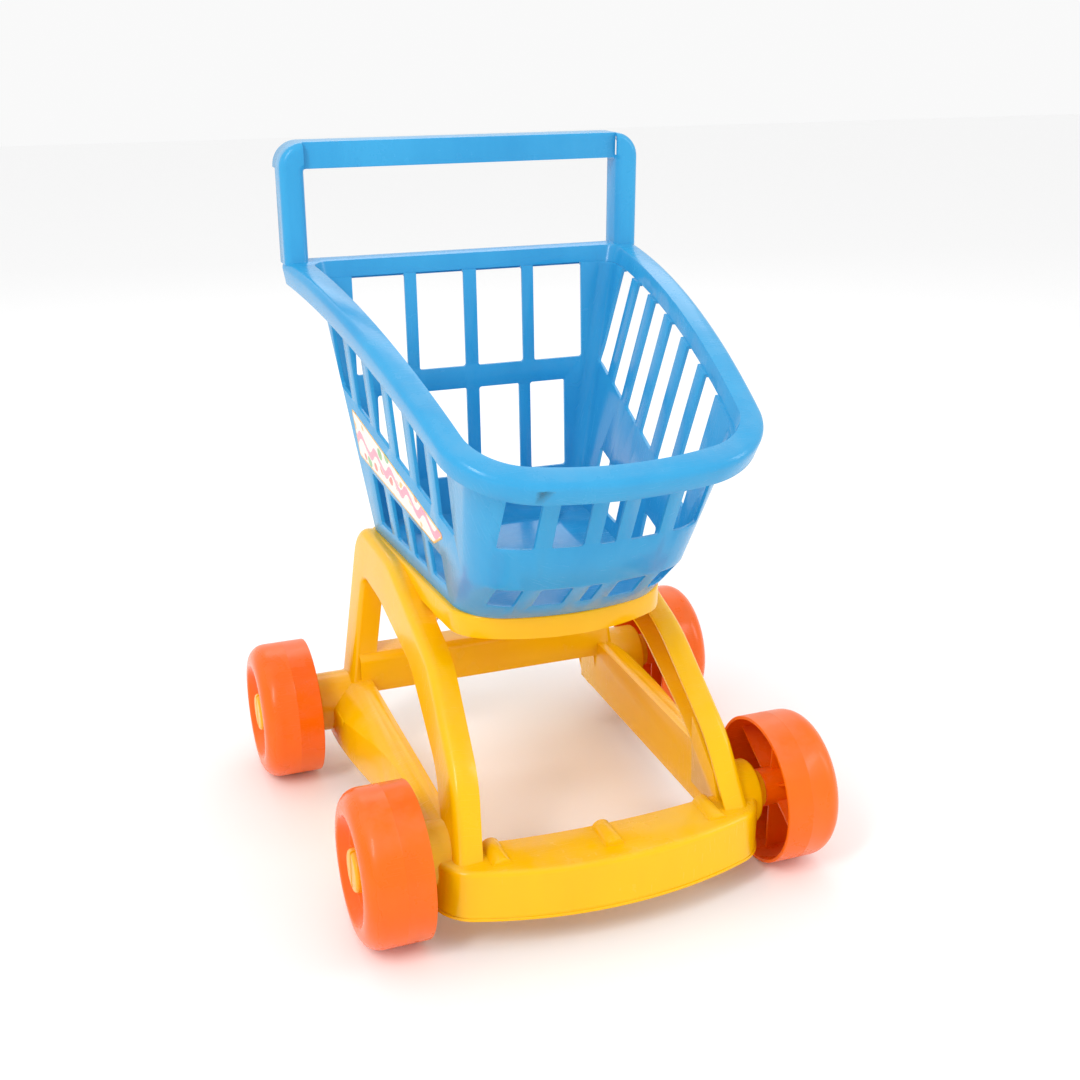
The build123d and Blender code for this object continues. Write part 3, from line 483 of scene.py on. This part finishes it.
for corner in CORNERS:
    name = "pin_moulding_" + corner
    softened("wheel_pin_" + corner, name, 0.3 * MM, pin_yellow, "cart")

# %% [markdown]
# ## The wheels, turned by a rule
# A toy wheel is blown or moulded as a deep cup: a wide smooth tread, a big round shoulder, a dished outer
# face, and a hub inside held by thin ribs. It could be a cylinder with bevels, but its shoulder is a true
# arc and the dish a shallow cone, so turning one section says it best. The section is a loop of corners
# with radii. Geometry Nodes turns it about the axle and stands equal ribs around the hub. A hair-thin
# raised line round the tread is where the two halves of the mould met.

# %% Wheel section and wheel rule
WALL = 2.4 * MM
SHOULDER = 13.0 * MM
DISH_RADIUS = 34.0 * MM
DISH_FLOOR = 36.0 * MM
HUB_RADIUS = 13.5 * MM
HUB_START = 4.0 * MM
BORE_RADIUS = 10.06 * MM
RIB_COUNT = 6


def wheel_section():
    """Half of a wheel's section, as (distance from the open edge, radius, rounding) corners."""
    outer, inner, width = WHEEL_RADIUS, WHEEL_RADIUS - WALL, WHEEL_WIDTH
    seam, back, slope = 0.42 * width, DISH_FLOOR - WALL, 2.5 * MM
    corners = [
        (0, inner, 0.5 * MM), (0, outer, 0.8 * MM),
        (seam - 0.3 * MM, outer, 0), (seam, outer + 0.12 * MM, 0), (seam + 0.3 * MM, outer, 0),
        (width, outer, SHOULDER), (width, DISH_RADIUS + slope, 3 * MM),
        (DISH_FLOOR, DISH_RADIUS - slope, 2 * MM), (DISH_FLOOR, HUB_RADIUS + 3 * MM, 0.3 * MM),
        (DISH_FLOOR + 0.5 * MM, HUB_RADIUS + 2.4 * MM, 0.3 * MM),
        (DISH_FLOOR, HUB_RADIUS + 1.8 * MM, 0.3 * MM), (DISH_FLOOR, BORE_RADIUS, 0.4 * MM),
        (HUB_START, BORE_RADIUS, 0.4 * MM), (HUB_START, HUB_RADIUS, 0.6 * MM),
        (back, HUB_RADIUS, 1 * MM), (back, DISH_RADIUS - slope - 1 * MM, 2 * MM),
        (width - WALL, DISH_RADIUS + slope - 0.5 * MM, 2 * MM), (width - WALL, inner, SHOULDER - WALL),
    ]
    return rounded(corners, 7)


def wheel_rule():
    """Turn the section, ring it with ribs, mark the tread, and set the wheel on its axle."""
    inputs = {"Steps": "Int", "Ribs": "Int", "Rib Size": "Vector", "Rib Middle": "Vector", "Tread": "Float",
              "Axle": "Vector", "Facing": "Vector", "Finish": "Material"}
    tree, board, value = new_rule("turned_wheel", inputs)
    skin = turned(board, value["Geometry"], value["Steps"])
    rib = board.add("GeometryNodeMeshCube", {}, {"Size": value["Rib Size"]}, "Mesh")
    rib = board.add("GeometryNodeTransform", {}, {"Geometry": rib, "Translation": value["Rib Middle"]})
    ring = board.add("GeometryNodeMeshLine", {}, {"Count": value["Ribs"], "Offset": (0, 0, 0)})
    number = board.add("GeometryNodeInputIndex")
    turn = board.add("ShaderNodeCombineXYZ", {}, {0: number * (2 * pi) / value["Ribs"]})
    sockets = {"Points": ring, "Instance": rib, "Rotation": turn}
    ribs = board.add("GeometryNodeInstanceOnPoints", {}, sockets)
    wheel = joined(board, skin, ribs)
    wheel = board.add("GeometryNodeRealizeInstances", {}, {"Geometry": wheel})
    _, across, up = board.parts(board.add("GeometryNodeInputPosition"))
    radius = (across * across + up * up).maths("SQRT")
    rubbed = radius.maths("GREATER_THAN", value["Tread"])
    settings = {"data_type": "FLOAT", "domain": "POINT"}
    sockets = {"Geometry": wheel, "Name": "tread", "Value": rubbed}
    wheel = board.add("GeometryNodeStoreNamedAttribute", settings, sockets)
    sockets = {"Geometry": wheel, "Translation": value["Axle"], "Rotation": value["Facing"]}
    wheel = board.add("GeometryNodeTransform", {}, sockets)
    finish_rule(board, wheel, value["Finish"])
    return tree


wheel_tree = wheel_rule()
section = wheel_section()
rib_low, rib_high = HUB_RADIUS - 1 * MM, WHEEL_RADIUS - WALL + 0.2 * MM
rib_start, rib_end = 14 * MM, DISH_FLOOR - WALL / 2
for corner in CORNERS:
    low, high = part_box("wheel_" + corner)
    right = AXLE[corner].x > 0
    open_edge = low.x if right else high.x
    wheel = run_rule(wheel_tree, "wheel_moulding_" + corner, section, {
        "Steps": 120, "Ribs": RIB_COUNT,
        "Rib Size": (rib_end - rib_start, 1.8 * MM, rib_high - rib_low),
        "Rib Middle": ((rib_start + rib_end) / 2, 0, (rib_low + rib_high) / 2),
        "Tread": WHEEL_RADIUS - 1.5 * MM, "Axle": (open_edge, AXLE[corner].y, AXLE[corner].z),
        "Facing": (0, 0, 0 if right else pi), "Finish": orange,
    })
    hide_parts("wheel_" + corner)
    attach(wheel, "wheel_" + corner)

# %% [markdown]
# ## The screws
# Four small screws come up through the tray into bosses on the basket. Only their heads can be seen, from
# below, but a screw without a thread would be no screw. One rule turns the blank, wraps a ridge along a
# helix for the thread, cuts the crossed recess, and sets a copy at each of the four places.

# %% Screw section and screw rule
def screw_section(length, shank, head, head_height):
    """Half of a screw's section about its own X axis, pointing up from its seat at X = 0."""
    return rounded([
        (-head_height, 0, 0), (-head_height, head, 0.9 * MM), (0, head, 0.2 * MM), (0, shank, 0),
        (length - 2 * MM, shank, 0), (length, 0.3 * MM, 0), (length, 0, 0),
    ], 4)


def screw_rule():
    """Turn the blank, add the thread, cut the recess, stand it up, and repeat it."""
    inputs = {"Steps": "Int", "Turns": "Float", "Shank": "Float", "Length": "Float", "Ridge": "Float",
              "Recess": "Vector", "Recess Depth": "Float", "Pitch X": "Float", "Pitch Y": "Float",
              "Middle": "Vector", "Finish": "Material"}
    tree, board, value = new_rule("threaded_screw", inputs)
    blank = turned(board, value["Geometry"], value["Steps"])
    blank = board.add("GeometryNodeTransform", {}, {"Geometry": blank, "Rotation": (0, -pi / 2, 0)})
    drop = board.add("ShaderNodeCombineXYZ", {}, {2: value["Recess Depth"]})
    for turn in (0, pi / 2):
        arm = board.add("GeometryNodeMeshCube", {}, {"Size": value["Recess"]}, "Mesh")
        sockets = {"Geometry": arm, "Translation": drop, "Rotation": (0, 0, turn)}
        arm = board.add("GeometryNodeTransform", {}, sockets)
        settings = {"operation": "DIFFERENCE", "solver": "EXACT"}
        blank = board.add("GeometryNodeMeshBoolean", settings, {"Mesh 1": blank, "Mesh 2": arm})
    sockets = {"Resolution": 16, "Rotations": value["Turns"], "Start Radius": value["Shank"],
               "End Radius": value["Shank"], "Height": value["Length"]}
    path = board.add("GeometryNodeCurveSpiral", {}, sockets)
    ridge = board.add("GeometryNodeCurvePrimitiveCircle", {}, {"Resolution": 3, "Radius": value["Ridge"]})
    sockets = {"Curve": path, "Profile Curve": ridge, "Fill Caps": True}
    thread = board.add("GeometryNodeCurveToMesh", {}, sockets)
    screw = joined(board, blank, thread)
    size = {"Size X": value["Pitch X"], "Size Y": value["Pitch Y"], "Vertices X": 2, "Vertices Y": 2}
    places = board.add("GeometryNodeMeshGrid", {}, size, "Mesh")
    places = board.add("GeometryNodeTransform", {}, {"Geometry": places, "Translation": value["Middle"]})
    screws = board.add("GeometryNodeInstanceOnPoints", {}, {"Points": places, "Instance": screw})
    finish_rule(board, screws, value["Finish"])
    return tree


low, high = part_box("basket_screws")
HEAD_RADIUS = 3.75 * MM
HEAD_HEIGHT = 2.2 * MM
SHANK_RADIUS = 1.75 * MM
THREAD_RIDGE = 0.4 * MM
screw_length = high.z - low.z - HEAD_HEIGHT
core = SHANK_RADIUS - THREAD_RIDGE
outline = screw_section(screw_length, core + 0.1 * MM, HEAD_RADIUS, HEAD_HEIGHT)
screws = run_rule(screw_rule(), "basket_screw_set", outline, {
    "Steps": 32, "Turns": 8.0, "Shank": core + 0.05 * MM, "Length": screw_length - 2.5 * MM,
    "Ridge": THREAD_RIDGE, "Recess": (1 * MM, 4.8 * MM, 2.8 * MM), "Recess Depth": -HEAD_HEIGHT - 0.1 * MM,
    "Pitch X": high.x - low.x - 2 * HEAD_RADIUS, "Pitch Y": high.y - low.y - 2 * HEAD_RADIUS,
    "Middle": ((low.x + high.x) / 2, (low.y + high.y) / 2, low.z + HEAD_HEIGHT), "Finish": steel,
})
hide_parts("basket_screws")
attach(screws, "cart")

# %% [markdown]
# ## The stickers
# Each side of the basket carries a long sticker. It is glossy film with a printed pattern, and the pattern
# here is a plain one: a pale ground with a waving stripe and scattered dots, inside a coloured border. The
# border is real geometry, because the film's edge has a shape that no formula in space would follow.

# %% Stickers
def sticker(node, name):
    """A sticker with its border set in from the edge of its outer face."""
    piece = stitched_copy(node, name)
    shape = bmesh.new()
    shape.from_mesh(piece.data)
    shape.normal_update()
    side = 1 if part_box(node)[0].x > 0 else -1
    face = max((f for f in shape.faces if f.normal.x * side > 0), key=lambda f: f.calc_area())
    border = bmesh.ops.inset_region(shape, faces=[face], thickness=1.6 * MM, depth=0)["faces"]
    for face in border:
        face.material_index = 1
    shape.to_mesh(piece.data)
    shape.free()
    piece.data.materials.append(film)
    piece.data.materials.append(film_border)
    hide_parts(node)
    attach(piece, "cart")
    print("%s: %d faces, %d of them border" % (name, len(piece.data.polygons), len(border)))


sticker("label_left", "sticker_left")
sticker("label_right", "sticker_right")

# %% [markdown]
# ## The studio
# A glossy toy is drawn by what it reflects, so the studio is big soft boxes round a pale floor: one over
# the front left shoulder as the key, one to the right to fill, and a strip from behind for the edges.

# %% Floor, world and lights
def stage_floor():
    """A wide pale floor."""
    size = 6.0
    shape = bmesh.new()
    bmesh.ops.create_grid(shape, x_segments=1, y_segments=1, size=size)
    mesh = bpy.data.meshes.new("studio_floor")
    shape.to_mesh(mesh)
    shape.free()
    floor = bpy.data.objects.new("studio_floor", mesh)
    bpy.context.scene.collection.objects.link(floor)
    material, board, shader = new_material("studio_floor")
    shader.inputs["Base Color"].default_value = (0.97, 0.97, 0.97, 1)
    shader.inputs["Roughness"].default_value = 0.9
    shader.inputs["Specular IOR Level"].default_value = 0.1
    mesh.materials.append(material)


def soft_box(name, place, target, size, power):
    """A rectangular soft light at a place, turned to face a target."""
    light = bpy.data.lights.new(name, "AREA")
    light.shape = "RECTANGLE"
    light.size, light.size_y = size
    light.energy = power
    lamp = bpy.data.objects.new(name, light)
    lamp.location = place
    lamp.rotation_euler = (Vector(target) - Vector(place)).to_track_quat("-Z", "Y").to_euler()
    bpy.context.scene.collection.objects.link(lamp)


def studio_world(strength):
    """An even pale surround."""
    world = bpy.data.worlds.new("studio")
    world.use_nodes = True
    world.node_tree.nodes["Background"].inputs["Color"].default_value = (1, 1, 1, 1)
    world.node_tree.nodes["Background"].inputs["Strength"].default_value = strength
    bpy.context.scene.world = world


stage_floor()
studio_world(0.95)
soft_box("key", (-1.1, -0.9, 1.5), (0, 0, 0.2), (0.3, 0.9), 11)
soft_box("fill", (1.5, -0.8, 1.1), (0, 0, 0.2), (0.3, 1.0), 5)
soft_box("edge", (0.3, 1.5, 1.4), (0, 0, 0.3), (1.6, 0.6), 5)
bpy.context.scene.view_settings.view_transform = "Standard"

# %% [markdown]
# ## The camera
# It stands to the front left and looks down a little more than 20 degrees, level, so uprights stay upright.

# %% Camera
camera_data = bpy.data.cameras.new("camera")
camera_data.lens = 46.86
camera_data.sensor_width = 36.0
camera_data.clip_start = 0.05
camera = bpy.data.objects.new("camera", camera_data)
camera.location = (-0.3236, -0.8870 + WHEELBASE_MIDDLE, 0.5731)
camera.rotation_euler = (radians(90 - 20.71), 0, radians(-20.49))
bpy.context.scene.collection.objects.link(camera)
bpy.context.scene.camera = camera
